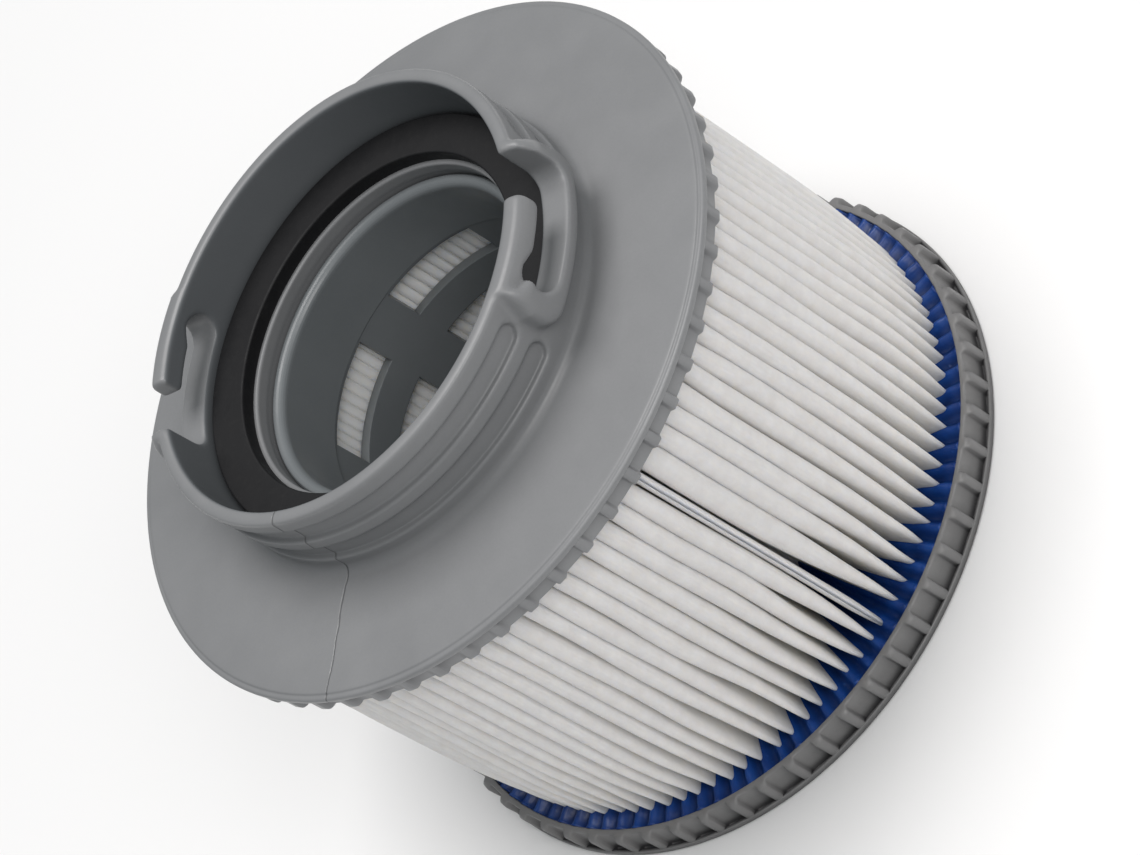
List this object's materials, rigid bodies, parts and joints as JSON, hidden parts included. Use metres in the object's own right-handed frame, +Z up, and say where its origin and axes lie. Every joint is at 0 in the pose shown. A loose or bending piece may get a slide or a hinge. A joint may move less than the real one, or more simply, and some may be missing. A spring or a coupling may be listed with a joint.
{
  "type": "filter cartridge",
  "caption": "Round pleated filter cartridge with potted end caps, ribbed grip rings, a windowed core and a short neck with two bayonet slots and a rubber face seal.",
  "frame": {"origin": "centre of the base, on the surface the cartridge stands on", "axes": "+Z up along the cartridge's axis towards the neck, +X through the middle of one bayonet slot"},
  "size_m": [0.108, 0.108, 0.0827],
  "materials": {
    "cap_plastic": "satin moulded grey plastic",
    "core_plastic": "smooth moulded grey plastic",
    "seal_rubber": "matte black rubber",
    "filter_sheet": "white non-woven polyester",
    "seam_glue": "translucent hot-melt glue",
    "potting_resin": "cast blue polyurethane"
  },
  "bodies": {
    "root": {"top_cap": "cap_plastic", "neck_seal": "seal_rubber", "core_cage": "core_plastic", "pleated_media": "filter_sheet", "media_seam": "seam_glue", "top_potting": "potting_resin", "bottom_potting": "potting_resin", "bottom_cap": "cap_plastic"}
  },
  "joints": []
}
